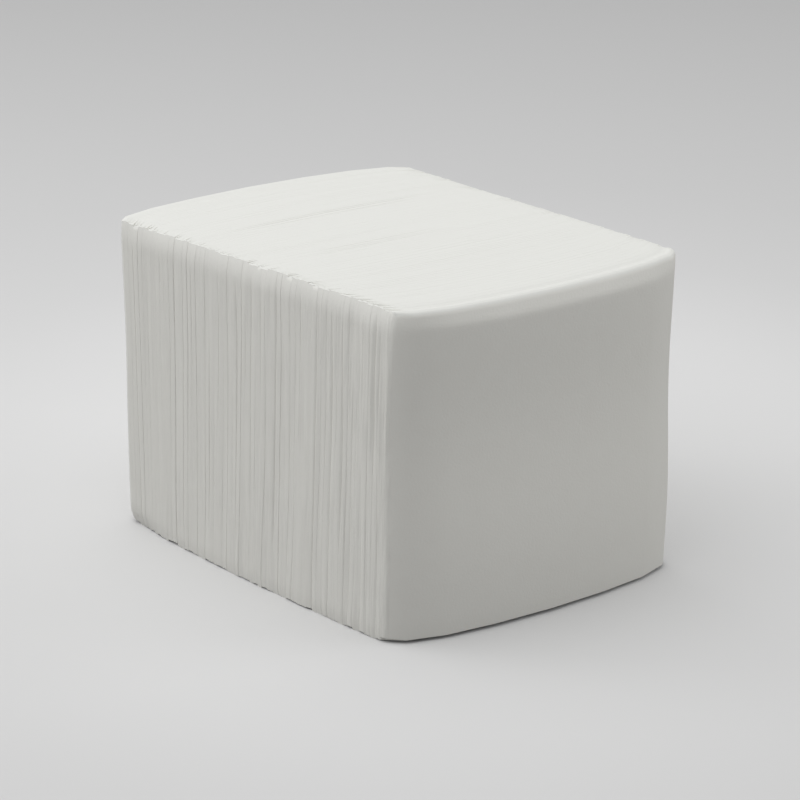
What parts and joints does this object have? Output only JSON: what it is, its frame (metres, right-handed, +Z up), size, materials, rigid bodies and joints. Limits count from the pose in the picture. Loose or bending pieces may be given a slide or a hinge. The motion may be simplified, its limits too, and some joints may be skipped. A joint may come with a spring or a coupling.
{
  "type": "stack of interfolded toilet tissue",
  "caption": "Free-standing stack of white toilet tissue sheets, each V-folded and interleaved with its neighbours, with rows of folds at both sides and a swelling front and back.",
  "frame": {"origin": "on the ground under the middle of the stack", "axes": "+X across the folded sheets towards the side where the front sheet has its free edges, +Y along the stack from its front to its back, +Z up along the sheets' height"},
  "size_m": [0.11, 0.1536, 0.1],
  "materials": {
    "tissue": "matte"
  },
  "bodies": {
    "root": {"front_sheet": "tissue", "left_folded_sheets": "tissue", "right_folded_sheets": "tissue", "back_sheet": "tissue"}
  },
  "joints": []
}
